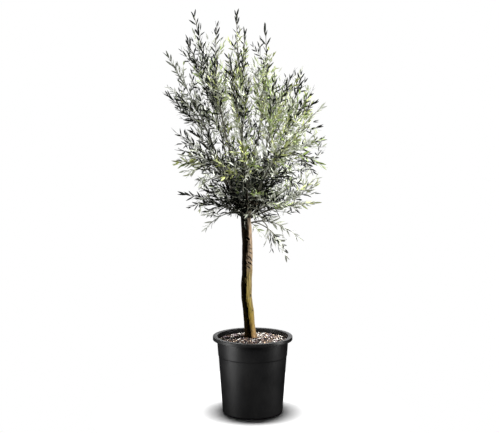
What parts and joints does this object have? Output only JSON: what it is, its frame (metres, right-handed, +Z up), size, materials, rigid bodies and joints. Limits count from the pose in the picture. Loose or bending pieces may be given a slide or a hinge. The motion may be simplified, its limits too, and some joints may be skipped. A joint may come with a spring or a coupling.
{
  "type": "potted olive tree",
  "caption": "Young standard olive with a clear, gently bent stem and an open crown of narrow leaves, in a round tapered nursery pot with a rolled lip.",
  "frame": {"origin": "centre of the pot's flat underside", "axes": "+Z up along the pot's axis, -Y towards the side the picture shows, +X to its right"},
  "size_m": [0.7097, 0.673, 1.766],
  "materials": {
    "pot": "satin",
    "potting_mix": "matte",
    "bark": "matte",
    "foliage": "satin"
  },
  "bodies": {
    "root": {"pot": "pot", "potting_mix": "potting_mix", "trunk": "bark", "bough_middle": "bark", "bough_left": "bark", "bough_right": "bark", "bough_back": "bark", "bough_front": "bark", "bough_left_back": "bark", "bough_right_back": "bark", "bough_right_front": "bark", "bough_left_front": "bark", "limb_outer_left": "bark", "limb_tall_left": "bark", "limb_inner_left": "bark", "limb_centre_right": "bark", "limb_front_upper": "bark", "limb_right_inner": "bark", "limb_right_tall": "bark", "limb_back_left": "bark", "limb_back_right": "bark", "foliage_tall_left": "foliage", "foliage_outer_left": "foliage", "foliage_middle_left": "foliage", "foliage_low_left": "foliage", "foliage_inner_left": "foliage", "foliage_leader": "foliage", "foliage_centre_right": "foliage", "foliage_right_inner": "foliage", "foliage_right_tall": "foliage", "foliage_right_outer": "foliage", "foliage_right_low": "foliage", "foliage_right_hanging": "foliage", "foliage_front_low": "foliage", "foliage_front": "foliage", "foliage_front_right": "foliage", "foliage_front_left": "foliage", "foliage_front_upper": "foliage", "foliage_back_low": "foliage", "foliage_back_left": "foliage", "foliage_back_side": "foliage", "foliage_back_right": "foliage", "foliage_back_corner": "foliage", "foliage_back": "foliage", "foliage_low_front_left": "foliage", "foliage_low_front_right": "foliage", "foliage_low_back_left": "foliage", "foliage_low_back_right": "foliage"}
  },
  "joints": []
}
